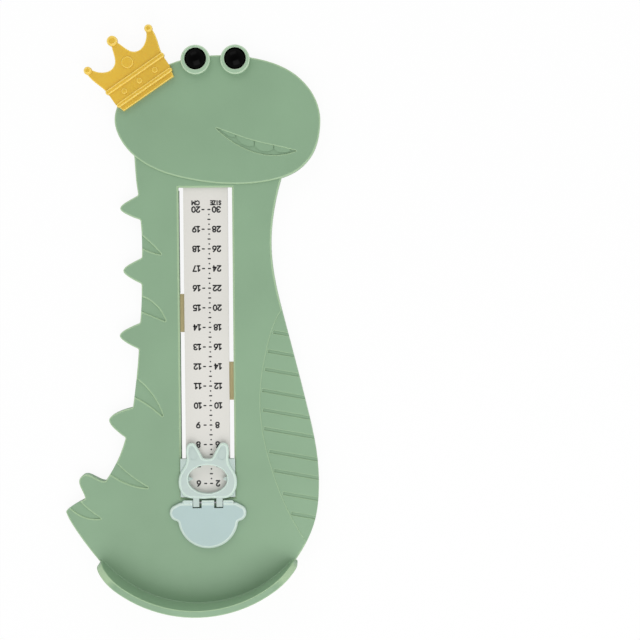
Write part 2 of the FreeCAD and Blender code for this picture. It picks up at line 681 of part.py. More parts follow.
def add_cells(body):
    """The hollow below the skin, divided by ribs."""
    rim = float(s.rim_wall)
    rib = float(s.rib_wall)
    frame = float(window_side) + rib
    low, high = float(window_bottom), float(window_top)
    bay = float(s.lug_half_width + s.lug_room)
    cells = new_sketch(body, "cells")

    def column(side, edge, bracket):
        """Cells beside the window, with the ribs kept off the bracket."""
        first, pitch, least = float(s.rib_first), float(s.rib_pitch), float(s.cell_least)
        steps = [first + i * pitch for i in range(math.ceil((high - low) / pitch))]
        ribs = [bracket - step for step in steps] + [bracket + step for step in steps]
        ribs = sorted(y for y in ribs if low + least < y < high - least)
        ribs = [low - rib] + ribs + [high + rib]
        for y0, y1 in zip(ribs, ribs[1:]):
            y0, y1 = y0 + rib / 2, y1 - rib / 2
            levels = [y0, (y0 + y1) / 2, y1]
            outer = [(height_at(edge, y) - side * rim, y) for y in levels]
            add_outline(cells, polygon([(side * frame, y1), (side * frame, y0)] + outer))

    back = list(BACK_INNER)
    belly = list(reversed(BELLY))
    column(-1, back, float(s.bracket_left_y))
    column(1, belly, float(s.bracket_right_y))

    def heel_edge(x):
        """Inner side of the rim along the heel wall."""
        reach = float(s.heel_radius) - rim
        return float(heel_y) - math.sqrt(reach ** 2 - (x - float(s.heel_x)) ** 2)

    top = low - rib
    for (side, levels, corner), edge in zip(HEEL_CELLS, (back, belly)):
        outer = [(height_at(edge, y) - side * rim, y) for y in [top] + levels]
        inner = side * (bay + rib)
        arc = [(x, heel_edge(x)) for x in (corner, (corner + inner) / 2, inner)]
        add_outline(cells, polygon([(inner, top)] + outer + arc))
        middle_top = low - float(s.lug_gap + s.lug_length + s.lug_room) - rib
        arc = [(x, heel_edge(x)) for x in (side * bay, side * bay / 2, side * rib / 2)]
        add_outline(cells, polygon([(side * rib / 2, middle_top), (side * bay, middle_top)] + arc))

    bay_top = high + float(s.lug_gap + s.lug_length + s.lug_room) + rib
    half_width = float(s.head_half_width) - rim
    half_depth = float(s.head_half_depth) - rim

    def head_edge(x):
        """Half depth of the oval below the head."""
        share = min(abs(x - float(s.head_x)) / half_width, OVAL_SHARE)
        return half_depth * (1 - share ** OVAL_POWER) ** (1 / OVAL_POWER) - rib / 2

    left, right = float(s.head_x) - half_width + rib, float(s.head_x) + half_width - rib
    for x0, x1 in ((left, -bay - rib), (-bay, -rib / 2), (rib / 2, bay), (bay + rib, right)):
        steps = [x0 + (x1 - x0) * i / OVAL_STEPS for i in range(OVAL_STEPS + 1)]
        above = [(x, float(head_y) + head_edge(x)) for x in steps]
        below = [(x, float(head_y) - head_edge(x)) for x in steps]
        if max(abs(x0), abs(x1)) <= bay:
            below = [(x, max(y, bay_top)) for x, y in below]
        add_outline(cells, polygon(above + list(reversed(below))))
    pocket(body, cells, skin_under)


def add_seats(body):
    """Room, bosses and holes for the strip, the brackets, the crown and the eyes."""
    bay = s.lug_half_width + s.lug_room
    room = s.lug_gap + s.lug_length + s.lug_room
    bays = new_sketch(body, "lug_bays")
    add_rectangle(bays, -bay, bay, window_top - s.rib_wall, window_top + room)
    add_rectangle(bays, -bay, bay, window_bottom - room, window_bottom + s.rib_wall)
    pocket(body, bays, skin_under)

    notches = new_sketch(body, "bracket_notches")
    half = s.bracket_length / 2 + s.bracket_room
    inner, outer = window_side - s.rib_wall / 2, window_side + s.rib_wall * 1.5
    add_rectangle(notches, -outer, -inner, s.bracket_left_y - half, s.bracket_left_y + half)
    add_rectangle(notches, inner, outer, s.bracket_right_y - half, s.bracket_right_y + half)
    pocket(body, notches, bracket_top + s.bracket_room)

    for name, seat, places in (("lug", strip_under, screw_places()[:4]),
                               ("bracket", bracket_top, screw_places()[4:])):
        bosses = new_sketch(body, name + "_bosses", seat)
        holes = new_sketch(body, name + "_holes", seat)
        for x, y, _ in places:
            add_circle(bosses, x, y, s.boss_radius)
            add_circle(holes, x, y, s.screw_radius + s.peg_room)
        level = places[0][2]
        pad(body, bosses, skin_under - seat + s.skin / 2)
        pocket(body, holes, level + s.screw_length + s.hole_past - seat)

    pegs = new_sketch(body, "peg_holes", head_top)
    for _, offset in EYES:
        add_circle(pegs, s.head_x + offset, eye_y, s.peg_radius + s.peg_room)
    for side in (-1, 1):
        x, y = crown_point(side * float(s.crown_peg_u), float(s.crown_peg_v))
        add_circle(pegs, x, y, s.peg_radius + s.peg_room)
    return pocket(body, pegs, s.peg_length + s.peg_room, down=True)


def make_base_plate():
    body = new_body("base_plate")
    plate = new_sketch(body, "plate")
    add_outline(plate, plate_outline())
    raised = pad(body, plate, s.plate_height)
    doc.recompute()
    fillet(body, raised, vertical_edges(raised, s.plate_height), s.corner_round)
    spots = new_sketch(body, "spots", s.plate_height)
    for upper, lower in SPOTS:
        add_outline(spots, [stretch(upper), stretch(lower), stretch([lower[-1], upper[0]])])
    cut = pocket(body, spots, s.spot_depth, down=True)
    doc.recompute()
    cut = fillet(body, cut, edges_beside(cut, [upper[-1] for upper, _ in SPOTS]), s.spot_round)
    doc.recompute()
    fillet(body, cut, edges_at(cut, s.plate_height), s.edge_round)
    head = new_sketch(body, "head")
    add_outline(head, [closed_curve([head_point(u, v) for u, v in HEAD])])
    raised = pad(body, head, head_top)
    doc.recompute()
    fillet(body, raised, edges_at(raised, head_top), s.edge_round)
    seats = new_sketch(body, "eye_seats")
    for _, offset in EYES:
        add_circle(seats, s.head_x + offset, eye_y, s.eye_radius - s.eye_seat_inset)
    pad(body, seats, head_top)
    add_heel_wall(body)
    window = new_sketch(body, "window")
    add_rectangle(window, -window_side, window_side, window_bottom, window_top)
    cut = pocket(body, window, s.plate_height)
    doc.recompute()
    sides = (-window_side, window_side, window_bottom, window_top)
    chamfer(body, cut, edges_at(cut, s.plate_height, sides), s.window_bevel)
    add_marks(body)
    add_cells(body)
    add_seats(body)
    return body


def make_ruler_strip():
    """The printed strip, with a lug below each end that is screwed to the plate."""
    body = new_body("ruler_strip")
    strip = new_sketch(body, "strip", strip_under)
    add_rectangle(strip, -strip_side, strip_side, window_bottom - s.strip_past, window_top + s.strip_past)
    pad(body, strip, s.strip_thickness)
    lugs = new_sketch(body, "lugs", lug_under)
    near, far = s.lug_gap, s.lug_gap + s.lug_length
    add_rectangle(lugs, -s.lug_half_width, s.lug_half_width, window_top + near, window_top + far)
    add_rectangle(lugs, -s.lug_half_width, s.lug_half_width, window_bottom - far, window_bottom - near)
    pad(body, lugs, s.strip_thickness)
    holes = new_sketch(body, "lug_screw_holes", lug_under)
    for x, y, _ in screw_places()[:4]:
        add_circle(holes, x, y, s.screw_radius + s.screw_clearance)
    pocket(body, holes, s.strip_thickness)
    return body


def make_bracket(side, sign, y, place):
    """A low strap from the plate to below the strip, with a block that carries the strip."""
    body = new_body(f"strip_bracket_{side}")
    y0, y1 = y - s.bracket_length / 2, y + s.bracket_length / 2
    for name, outer, level, height in (
            ("strap", s.bracket_outer, s.bracket_level, s.bracket_thickness),
            ("block", s.bracket_rise, bracket_top, strip_under - bracket_top)):
        sketch = new_sketch(body, f"{side}_{name}", level)
        xs = sorted([s.bracket_inner * sign, outer * sign], key=float)
        add_rectangle(sketch, xs[0], xs[1], y0, y1)
        pad(body, sketch, height)
    hole = new_sketch(body, f"{side}_screw_hole", s.bracket_level)
    add_circle(hole, place[0], place[1], s.screw_radius + s.screw_clearance)
    pocket(body, hole, s.bracket_thickness)
    return body


def make_screws():
    """Six equal screws with slotted heads, as separate solids."""
    body = new_body("assembly_screws")
    places = screw_places()
    for name, group in (("lug", places[:4]), ("bracket", places[4:])):
        level = group[0][2]
        shanks = new_sketch(body, f"{name}_shanks", level)
        heads = new_sketch(body, f"{name}_heads", level - s.screw_head_height)
        slots = new_sketch(body, f"{name}_slots", level - s.screw_head_height)
        half = s.drive_slot / 2
        for x, y, _ in group:
            add_circle(shanks, x, y, s.screw_radius)
            add_circle(heads, x, y, s.screw_head_radius)
            add_rectangle(slots, x - s.screw_radius, x + s.screw_radius, y - half, y + half)
        pad(body, shanks, s.screw_length)
        pad(body, heads, s.screw_head_height)
        pocket(body, slots, s.drive_depth)
    return body


def make_slider():
    """Carriage in the window with a rabbit face, hooks below the strip and two hinge arms."""
    body = new_body("slider")
    low, high = s.index_y - s.carriage_below, s.index_y + s.carriage_above
    face_top = face_under + s.face_thickness
    half = float(s.face_half_width)
    right = [(x * half, y) for x, y in FACE]
    hollow = [(x * half, y) for x, y in EAR_HOLLOW]
    face = new_sketch(body, "face", face_under)
    add_outline(face, [closed_curve(shifted(right[:-1] + mirrored(right)[:-1], 0, s.index_y))])
    raised = pad(body, face, s.face_thickness)
    doc.recompute()
    fillet(body, raised, edges_at(raised, face_top), s.face_round)
    hollows = new_sketch(body, "ear_hollows", face_top)
    for points in (hollow, mirrored(hollow)):
        add_outline(hollows, [closed_curve(shifted(points, 0, s.index_y))])
    pocket(body, hollows, s.ear_recess, down=True)

    carriage = new_sketch(body, "carriage", skin_under + s.slide_gap)
    inside = window_side - s.slide_gap
    add_rectangle(carriage, -inside, inside, low, high)
    pad(body, carriage, face_under - skin_under - s.slide_gap)
    shoulder = new_sketch(body, "shoulder", s.plate_height + s.slide_gap)
    reach = window_side + s.shoulder_overlap
    add_rectangle(shoulder, -reach, reach, low, high)
    pad(body, shoulder, s.head_step)

    hole = new_sketch(body, "reading_hole", skin_under + s.slide_gap)
    width, height = float(s.eye_hole_half_width), float(s.eye_hole_half_height)
    add_outline(hole, [Part.Ellipse(vector((0, s.index_y)), width, height)])
    cut = pocket(body, hole, face_top - skin_under)
    doc.recompute()
    around = (-width, width, s.index_y - height, s.index_y + height)
    fillet(body, cut, edges_at(cut, face_top, around), s.face_round / 2)
    pointers = new_sketch(body, "pointers", s.plate_height + s.slide_gap)
    root = width + BEYOND
    tip = width - float(s.pointer_length)
    half = float(s.pointer_half_width)
    for side in (-1, 1):
        points = shifted([(side * root, -half), (side * root, half), (side * tip, 0)], 0, s.index_y)
        add_outline(pointers, polygon(points))
    pad(body, pointers, s.head_step)

    leg_inner = strip_side + s.slide_gap
    leg_outer = leg_inner + s.leg_thickness
    hook_under = strip_under - s.slide_gap - s.hook_thickness
    legs = new_sketch(body, "legs", hook_under)
    hooks = new_sketch(body, "hooks", hook_under)
    y0, y1 = low + s.leg_margin, high - s.leg_margin
    for inner, outer in ((-leg_outer, -leg_inner), (leg_inner, leg_outer)):
        add_rectangle(legs, inner, outer, y0, y1)
    hook_inner = strip_side - s.hook_reach
    for inner, outer in ((-leg_outer, -hook_inner), (hook_inner, leg_outer)):
        add_rectangle(hooks, inner, outer, y0, y1)
    pad(body, legs, skin_under + s.slide_gap * 2 - hook_under)
    pad(body, hooks, s.hook_thickness)

    arms = new_sketch(body, "hinge_arms", hinge_z - s.barrel_radius)
    for inner, outer in ((-s.arm_outer, -s.arm_inner), (s.arm_inner, s.arm_outer)):
        add_rectangle(arms, inner, outer, hinge_y - s.arm_past, low + s.leg_margin)
    pad(body, arms, s.barrel_radius * 2)
    add_pin_hole(body, s.pin_radius + s.pin_clearance, s.arm_outer)
    return body


def add_pin_hole(body, radius, reach):
    """A hole along the hinge axis, as far as reach to each side of the centre line."""
    hole = new_sketch(body, body.Label + "_pin_hole", -(reach + BEYOND), "YZ_Plane")
    add_circle(hole, hinge_y, hinge_z, radius)
    return pocket(body, hole, (reach + BEYOND) * 2)


def make_toe_flap():
    """Disc with two side lobes that stands up against the toes, with three hinge knuckles."""
    body = new_body("toe_flap")
    under = s.plate_height + s.flap_gap
    thickness = s.barrel_radius * 2
    hinge = float(hinge_y)
    disc_y = hinge - float(s.flap_below)
    lobe_x, lobe_y = float(s.lobe_x), hinge - float(s.lobe_below)
    lobe_radius, disc_radius = float(s.lobe_radius), float(s.flap_radius)
    shoulder = (lobe_x - LOBE_SHARE * lobe_radius, hinge)

    def on_lobe(angle):
        """A point on the right lobe, by its angle from the X axis."""
        turn = math.radians(angle)
        return lobe_x + lobe_radius * math.cos(turn), lobe_y + lobe_radius * math.sin(turn)

    def on_disc(angle):
        """A point on the disc, by its angle from the lowest point."""
        turn = math.radians(angle)
        return disc_radius * math.sin(turn), disc_y - disc_radius * math.cos(turn)

    lobe = [on_lobe(angle) for angle in LOBE_ANGLES]
    disc = [on_disc(-DISC_ANGLE), on_disc(0), on_disc(DISC_ANGLE)]
    mirror = [(-x, y) for x, y in lobe]
    outline = new_sketch(body, "flap", under)
    add_outline(outline, [
        Part.Arc(*[vector(point) for point in disc]),
        stretch([disc[-1], lobe[0]]),
        Part.Arc(*[vector(point) for point in lobe]),
        stretch([lobe[-1], shoulder]),
        stretch([shoulder, (-shoulder[0], shoulder[1])]),
        stretch([(-shoulder[0], shoulder[1]), mirror[-1]]),
        Part.Arc(*[vector(point) for point in reversed(mirror)]),
        stretch([mirror[0], disc[0]]),
    ])
    raised = pad(body, outline, thickness)
    doc.recompute()
    raised = fillet(body, raised, vertical_edges(raised, thickness), s.flap_round)
    doc.recompute()
    fillet(body, raised, edges_at(raised, under + thickness), s.flap_round)
    notches = new_sketch(body, "notches", under)
    outer = s.arm_outer + s.arm_gap
    far = hinge_y - arm_sweep - s.arm_gap
    for x0, x1 in ((-outer, -s.tongue_half_width), (s.tongue_half_width, outer)):
        add_rectangle(notches, x0, x1, far, hinge_y + s.barrel_radius)
    pocket(body, notches, thickness)
    tongue = new_sketch(body, "tongue", -s.tongue_half_width, "YZ_Plane")
    add_circle(tongue, hinge_y, hinge_z, s.barrel_radius)
    pad(body, tongue, s.tongue_half_width * 2)
    radius, taper = float(s.barrel_radius), float(s.knuckle_taper)
    near, end = float(outer), float(s.flap_half_top)
    for name, sign in (("cheek_left", -1), ("cheek_right", 1)):
        cheek = new_sketch(body, name, hinge_z)
        cheek.setExpression("AttachmentOffset.Base.y", hinge_y.text)
        add_outline(cheek, polygon([(sign * near, 0), (sign * near, radius), (sign * (end - taper), radius),
                                    (sign * end, radius - taper), (sign * end, 0)]))
        revolve(body, cheek, axis="H_Axis")
    add_pin_hole(body, s.pin_radius, s.flap_half_top)
    return body


def make_hinge_pin():
    pin = doc.addObject("Part::Cylinder", "hinge_pin")
    pin.Label = "hinge_pin"
    half = s.flap_half_top - s.pin_inset
    pin.setExpression("Radius", s.pin_radius.text)
    pin.setExpression("Height", (half * 2).text)
    turn = FreeCAD.Rotation(FreeCAD.Vector(0, 1, 0), 90)
    pin.Placement = FreeCAD.Placement(FreeCAD.Vector(0, 0, 0), turn)
    pin.setExpression("Placement.Base.x", (s.frame_x - half).text)
    pin.setExpression("Placement.Base.y", (s.frame_y + hinge_y).text)
    pin.setExpression("Placement.Base.z", hinge_z.text)
    return pin


def make_eye(side, offset):
    """A ring with a floor and a peg, and the black dome that is glued in it, above its middle."""
    ring = new_body(f"eye_ring_{side}", s.head_x + offset, eye_y, head_top)
    dome = new_body(f"pupil_{side}", s.head_x + offset, eye_y + s.pupil_up, head_top)
    peg = new_sketch(ring, f"eye_peg_{side}", -s.peg_length)
    add_circle(peg, 0, 0, s.peg_radius)
    pad(ring, peg, s.peg_length + s.eye_floor)
    disc = new_sketch(ring, f"ring_{side}")
    add_circle(disc, 0, 0, s.eye_radius)
    raised = pad(ring, disc, s.eye_height)
    doc.recompute()
    fillet(ring, raised, edges_at(raised, s.eye_height), s.ring_round)
    bore = new_sketch(ring, f"bore_{side}", s.eye_floor)
    add_circle(bore, 0, s.pupil_up, s.pupil_radius + s.pupil_gap)
    cut = pocket(ring, bore, s.eye_height)
    doc.recompute()
    around = (-s.pupil_radius, s.pupil_radius, s.pupil_up - s.pupil_radius, s.pupil_up + s.pupil_radius)
    fillet(ring, cut, edges_at(cut, s.eye_height, around), s.bore_round)
    floor = float(s.eye_floor)
    radius, edge = float(s.pupil_radius), floor + float(s.pupil_edge)
    top = floor + float(s.pupil_height)
    ball = (radius ** 2 + (top - edge) ** 2) / (2 * (top - edge))
    turn = math.asin(radius / ball) / 2
    middle = (ball * math.sin(turn), top - ball + ball * math.cos(turn))
    cap = Part.Arc(vector((radius, edge)), vector(middle), vector((0, top)))
    section = new_sketch(dome, f"dome_{side}", 0.0, "XZ_Plane")
    add_outline(section, [
        stretch([(0, floor), (radius, floor)]),
        stretch([(radius, floor), (radius, edge)]),
        cap,
        stretch([(0, top), (0, floor)]),
    ])
    revolve(dome, section)
    return ring, dome


def make_crown():
    """A flat crown with two ridges, studs and balls, on two pegs."""
    body = new_body("crown", *head_point(*CROWN_ANCHOR), head_top, s.crown_tilt)
    side_left = [(-u, v) for u, v in CROWN_SIDE]
    dip_left = [(-u, v) for u, v in CROWN_DIP]
    outline = new_sketch(body, "crown_outline")
    add_outline(outline, [
        stretch([side_left[0], CROWN_SIDE[0]]),
        stretch(CROWN_SIDE),
        stretch([CROWN_SIDE[-1], CROWN_DIP[0]]),
        stretch(CROWN_DIP),
        stretch([CROWN_DIP[-1], dip_left[-1]]),
        stretch(list(reversed(dip_left))),
        stretch([dip_left[0], side_left[-1]]),
        stretch(list(reversed(side_left))),
    ])
    raised = pad(body, outline, s.crown_plate)
    doc.recompute()
    fillet(body, raised, edges_at(raised, s.crown_plate), s.crown_round)
    balls = new_sketch(body, "crown_balls")
    add_circle(balls, *CROWN_BALL, s.ball_radius)
    for u, v in (CROWN_SIDE_BALL, mirrored([CROWN_SIDE_BALL])[0]):
        add_circle(balls, u, v, s.side_ball_radius)
    raised = pad(body, balls, s.ball_height)
    doc.recompute()
    fillet(body, raised, edges_at(raised, s.ball_height), s.ball_round)
    reach, low, high = CROWN_RIDGES[0][0], CROWN_RIDGES[0][2], CROWN_RIDGES[1][1]
    band = new_sketch(body, "crown_band")
    add_rectangle(band, -reach, reach, low, high)
    pad(body, band, s.crown_band)
    for number, (reach, low, high) in enumerate(CROWN_RIDGES):
        ridge = new_sketch(body, f"crown_ridge_{number}")
        half = (high - low) / 2
        straight, middle = reach - half, (low + high) / 2
        right_end = [(straight, low), (reach, middle), (straight, high)]
        left_end = [(-u, v) for u, v in reversed(right_end)]
        add_outline(ridge, [
            stretch([left_end[-1], right_end[0]]),
            Part.Arc(*[vector(point) for point in right_end]),
            stretch([right_end[-1], left_end[0]]),
            Part.Arc(*[vector(point) for point in left_end]),
        ])
        raised = pad(body, ridge, s.crown_ridge)
        doc.recompute()
        fillet(body, raised, edges_at(raised, s.crown_ridge, (-reach, reach, low, high)), s.ridge_round)
    for name, places, radius, level in (
            ("studs", CROWN_STUDS, s.stud_radius, s.crown_band + s.stud_height),
            ("gem", [CROWN_GEM], s.gem_radius, s.crown_plate + s.gem_height)):
        sketch = new_sketch(body, f"crown_{name}")
        for u, v in places:
            add_circle(sketch, u, v, radius)
        raised = pad(body, sketch, level)
        doc.recompute()
        fillet(body, raised, edges_at(raised, level), s.crown_round)
    pegs = new_sketch(body, "crown_pegs")
    for side in (-1, 1):
        add_circle(pegs, s.crown_peg_u * side, s.crown_peg_v, s.peg_radius)
    pad(body, pegs, s.peg_length, down=True)
    return body


places = screw_places()
nodes = [
    make_base_plate(),
    make_ruler_strip(),
    make_bracket("left", -1, s.bracket_left_y, places[4]),
    make_bracket("right", 1, s.bracket_right_y, places[5]),
    make_screws(),
    make_slider(),
    make_toe_flap(),
    make_hinge_pin(),
    make_crown(),
]
for side, offset in EYES:
    nodes += make_eye(side, offset)
doc.recompute()

for item in doc.Objects:
    if "Invalid" in item.State or "Error" in item.State:
        raise RuntimeError(f"{item.Label} failed: {item.State}")
for node in nodes:
    if node.Shape.isNull() or not node.Shape.isValid():
        raise RuntimeError(f"{node.Label} has no valid shape")
    expected = len(places) if node.Label == "assembly_screws" else 1
    if len(node.Shape.Solids) != expected:
        raise RuntimeError(f"{node.Label} has {len(node.Shape.Solids)} solids")

os.makedirs("parts", exist_ok=True)
for node in nodes:
    node.Shape.exportStep(f"parts/{node.Label}.step")
    print(node.Label, len(node.Shape.Solids), round(node.Shape.Volume, 2))
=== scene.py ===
import math

import bmesh
import bpy
from mathutils import Matrix, Vector


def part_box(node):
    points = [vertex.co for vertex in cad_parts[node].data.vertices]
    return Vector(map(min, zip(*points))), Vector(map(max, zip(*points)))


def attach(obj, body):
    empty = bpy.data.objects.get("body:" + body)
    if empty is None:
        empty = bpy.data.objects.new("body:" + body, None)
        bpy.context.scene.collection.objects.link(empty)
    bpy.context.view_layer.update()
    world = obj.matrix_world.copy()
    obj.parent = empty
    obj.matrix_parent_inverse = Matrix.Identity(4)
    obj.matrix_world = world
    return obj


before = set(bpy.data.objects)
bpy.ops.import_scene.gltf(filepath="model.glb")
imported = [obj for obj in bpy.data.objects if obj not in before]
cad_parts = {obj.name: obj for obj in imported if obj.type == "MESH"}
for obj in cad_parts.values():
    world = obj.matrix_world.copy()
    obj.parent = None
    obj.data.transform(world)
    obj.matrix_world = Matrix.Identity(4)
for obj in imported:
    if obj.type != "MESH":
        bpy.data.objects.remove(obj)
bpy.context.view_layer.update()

MM = 0.001

# ---------------------------------------------------------------------------------------------
# Places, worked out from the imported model
# ---------------------------------------------------------------------------------------------
STRIP_LOW, STRIP_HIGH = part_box("ruler_strip")
STRIP_END = 222.5 * MM                      # the scale's zero to the strip's upper end
SCALE_X = (STRIP_LOW.x + STRIP_HIGH.x) / 2
ZERO_Y = STRIP_HIGH.y - STRIP_END
STRIP_TOP = STRIP_HIGH.z


def on_scale(x, y, z=0.0):
    """A place in millimetres from the scale's zero and centre line, in metres of the part's frame."""
    return Vector((SCALE_X + x * MM, ZERO_Y + y * MM, z * MM))


# ---------------------------------------------------------------------------------------------
# Materials
# ---------------------------------------------------------------------------------------------
def linear(red, green, blue):
    """A colour given in sRGB steps of 255, as Blender's linear colour."""
    shares = [value / 255 for value in (red, green, blue)]
    return [c / 12.92 if c <= 0.04045 else ((c + 0.055) / 1.055) ** 2.4 for c in shares] + [1.0]


# A painted highlight brightens rounded rims where the surface's direction has an upward share below the
# first value, not above the second, and less and less below the third, which leaves upright sides as they
# are.
HIGHLIGHT_TILT, HIGHLIGHT_FLAT, HIGHLIGHT_UPRIGHT = 0.9, 0.99, 0.4
SOFT_HIGHLIGHT_TILT, SOFT_HIGHLIGHT_FLAT = 0.97, 0.998          # the first two for the pieces with the softest rims, whose painted highlight is widest
# The painted highlight leaves out the fillet at the foot of the heel wall.  All of it lies between these
# two heights and nearer to the heel than this place on the scale, in millimetres.
FOOT_LOW, FOOT_HIGH, FOOT_END = 7.0, 8.6, 30.0
FOOT_BLEND = 0.02                           # over this length the painted highlight begins beyond it
NOISE_LOW, NOISE_HIGH = 0.3, 0.7            # nearly all values of a noise lie between these
# Moulded plastic: how wide its faint tones, scuffs, grain and waves are, in millimetres.
FLOW_SIZE, SCUFF_SIZE, GRAIN_SIZE, WAVE_SIZE = 45.0, 6.0, 0.35, 14.0
GRAIN_DEPTH, WAVE_DEPTH = 0.01, 0.05
SMOOTHER, ROUGHER = 0.05, 0.06              # how far the roughness goes below and above its value
PLASTIC_IOR = 1.5
COAT_ROUGHNESS = 0.08
GLOW_DEPTH = 1.5                            # how deep light goes into plastic, in millimetres
GLOW_SHARES = (1.0, 1.0, 0.8)               # shares of that depth for red, green and blue
MIX_FIRST, MIX_SECOND, MIX_RESULT = 6, 7, 2     # the mix node's sockets for colours


class Nodes:
    """Short calls for building a material's nodes."""

    def __init__(self, name):
        self.material = bpy.data.materials.new(name)
        self.material.use_nodes = True
        self.tree = self.material.node_tree
        self.shader = self.tree.nodes["Principled BSDF"]
        coordinates = self.tree.nodes.new("ShaderNodeTexCoord")
        self.place = coordinates.outputs["Object"]
        self.facing = coordinates.outputs["Normal"]

    def link(self, output, target):
        """Join an output to an input."""
        self.tree.links.new(output, target)

    def noise(self, size, detail=3.0, rough=0.55):
        """Noise whose features are about this many metres wide."""
        node = self.tree.nodes.new("ShaderNodeTexNoise")
        node.inputs["Scale"].default_value = 1 / size
        node.inputs["Detail"].default_value = detail
        node.inputs["Roughness"].default_value = rough
        self.link(self.place, node.inputs["Vector"])
        return node.outputs["Fac"]

    def spread(self, value, low, high, start=NOISE_LOW, end=NOISE_HIGH):
        """The value brought from one range, or from noise's own, to the range from low to high."""
        node = self.tree.nodes.new("ShaderNodeMapRange")
        node.inputs["From Min"].default_value = start
        node.inputs["From Max"].default_value = end
        node.inputs["To Min"].default_value = low
        node.inputs["To Max"].default_value = high
        self.link(value, node.inputs["Value"])
        return node.outputs["Result"]

    def mix(self, factor, first, second):
        """Two colours mixed by a factor."""
        node = self.tree.nodes.new("ShaderNodeMix")
        node.data_type = "RGBA"
        self.link(factor, node.inputs["Factor"])
        for socket, colour in ((MIX_FIRST, first), (MIX_SECOND, second)):
            if isinstance(colour, list):
                node.inputs[socket].default_value = colour
            else:
                self.link(colour, node.inputs[socket])
        return node.outputs[MIX_RESULT]

    def join(self, operation, first, second):
        """The result of an operation on two values."""
        node = self.tree.nodes.new("ShaderNodeMath")
        node.operation = operation
        self.link(first, node.inputs[0])
        self.link(second, node.inputs[1])
        return node.outputs["Value"]

    def share(self, vector, axis):
        """A vector's share along one axis."""
        node = self.tree.nodes.new("ShaderNodeSeparateXYZ")
        self.link(vector, node.inputs["Vector"])
        return node.outputs[axis]

    def edges(self, tilt, flat):
        """The painted highlight's mask: one on rounded upper rims, and zero on flat faces and on upright
        sides.
        """
        up = self.share(self.facing, "Z")
        tilted = self.spread(up, 1.0, 0.0, tilt, flat)
        raised = self.spread(up, 0.0, 1.0, 0.0, HIGHLIGHT_UPRIGHT)
        return self.join("MULTIPLY", tilted, raised)

    def past_foot(self):
        """Zero in the fillet at the foot of the heel wall, and one elsewhere, to keep the painted
        highlight out of that crease.
        """
        level = self.share(self.place, "Z")
        blend = FOOT_BLEND * MM
        below = self.spread(level, 1.0, 0.0, FOOT_LOW * MM - blend, FOOT_LOW * MM)
        above = self.spread(level, 0.0, 1.0, FOOT_HIGH * MM - blend, FOOT_HIGH * MM)
        end = on_scale(0, FOOT_END).y
        beyond = self.spread(self.share(self.place, "Y"), 0.0, 1.0, end, end + blend)
        return self.join("MAXIMUM", self.join("MAXIMUM", below, above), beyond)

    def bump(self, height, distance, strength, under=None):
        """A surface direction that follows a height, on top of another one if there is one."""
        node = self.tree.nodes.new("ShaderNodeBump")
        node.inputs["Strength"].default_value = strength
        node.inputs["Distance"].default_value = distance
        self.link(height, node.inputs["Height"])
        if under is not None:
            self.link(under, node.inputs["Normal"])
        return node.outputs["Normal"]


def moulded(name, colour, highlight_colour, roughness, tone=0.05, grain=0.25, glow=0.0, coat=0.0, shine=0.5,
             rim=(HIGHLIGHT_TILT, HIGHLIGHT_FLAT)):
    """Moulded plastic: faint flow tones, a painted highlight on rounded rims, a fine mould grain and an
    uneven gloss.
    """
    nodes = Nodes(name)
    shader = nodes.shader
    dark = [c * (1 - tone) for c in colour[:3]] + [1.0]
    light = [min(c * (1 + tone), 1.0) for c in colour[:3]] + [1.0]
    flow = nodes.noise(FLOW_SIZE * MM, detail=2.0)
    body = nodes.mix(nodes.spread(flow, 0.0, 1.0), dark, light)
    # painted highlight: rounded rims within the rim range take the highlight colour, except in the heel
    # wall's foot fillet
    highlight_share = nodes.join("MULTIPLY", nodes.edges(*rim), nodes.past_foot())
    nodes.link(nodes.mix(highlight_share, body, highlight_colour), shader.inputs["Base Color"])
    scuff = nodes.noise(SCUFF_SIZE * MM, detail=6.0, rough=0.7)
    gloss = nodes.spread(scuff, roughness - SMOOTHER, roughness + ROUGHER)
    nodes.link(gloss, shader.inputs["Roughness"])
    fine = nodes.bump(nodes.noise(GRAIN_SIZE * MM, detail=2.0), GRAIN_DEPTH * MM, grain)
    wave = nodes.bump(nodes.noise(WAVE_SIZE * MM, detail=1.0), WAVE_DEPTH * MM, grain, under=fine)
    nodes.link(wave, shader.inputs["Normal"])
    shader.inputs["IOR"].default_value = PLASTIC_IOR
    shader.inputs["Specular IOR Level"].default_value = shine
    shader.inputs["Subsurface Weight"].default_value = glow
    shader.inputs["Subsurface Radius"].default_value = GLOW_SHARES
    shader.inputs["Subsurface Scale"].default_value = GLOW_DEPTH * MM
    shader.inputs["Coat Weight"].default_value = coat
    shader.inputs["Coat Roughness"].default_value = COAT_ROUGHNESS
    return nodes.material


def plated_steel():
    """Zinc-plated steel with fine turning marks."""
    nodes = Nodes("plated_steel")
    shader = nodes.shader
    shader.inputs["Metallic"].default_value = 1.0
    dark, light = linear(118, 120, 122), linear(150, 151, 152)
    patch_size, scratch_size, scratch_depth = 1.5 * MM, 0.3 * MM, 0.01 * MM
    polished, scratched = 0.24, 0.42
    tone = nodes.spread(nodes.noise(patch_size, detail=4.0), 0.0, 1.0)
    nodes.link(nodes.mix(tone, dark, light), shader.inputs["Base Color"])
    scratch = nodes.noise(scratch_size, detail=5.0, rough=0.75)
    nodes.link(nodes.spread(scratch, polished, scratched), shader.inputs["Roughness"])
    nodes.link(nodes.bump(scratch, scratch_depth, 0.4), shader.inputs["Normal"])
    return nodes.material


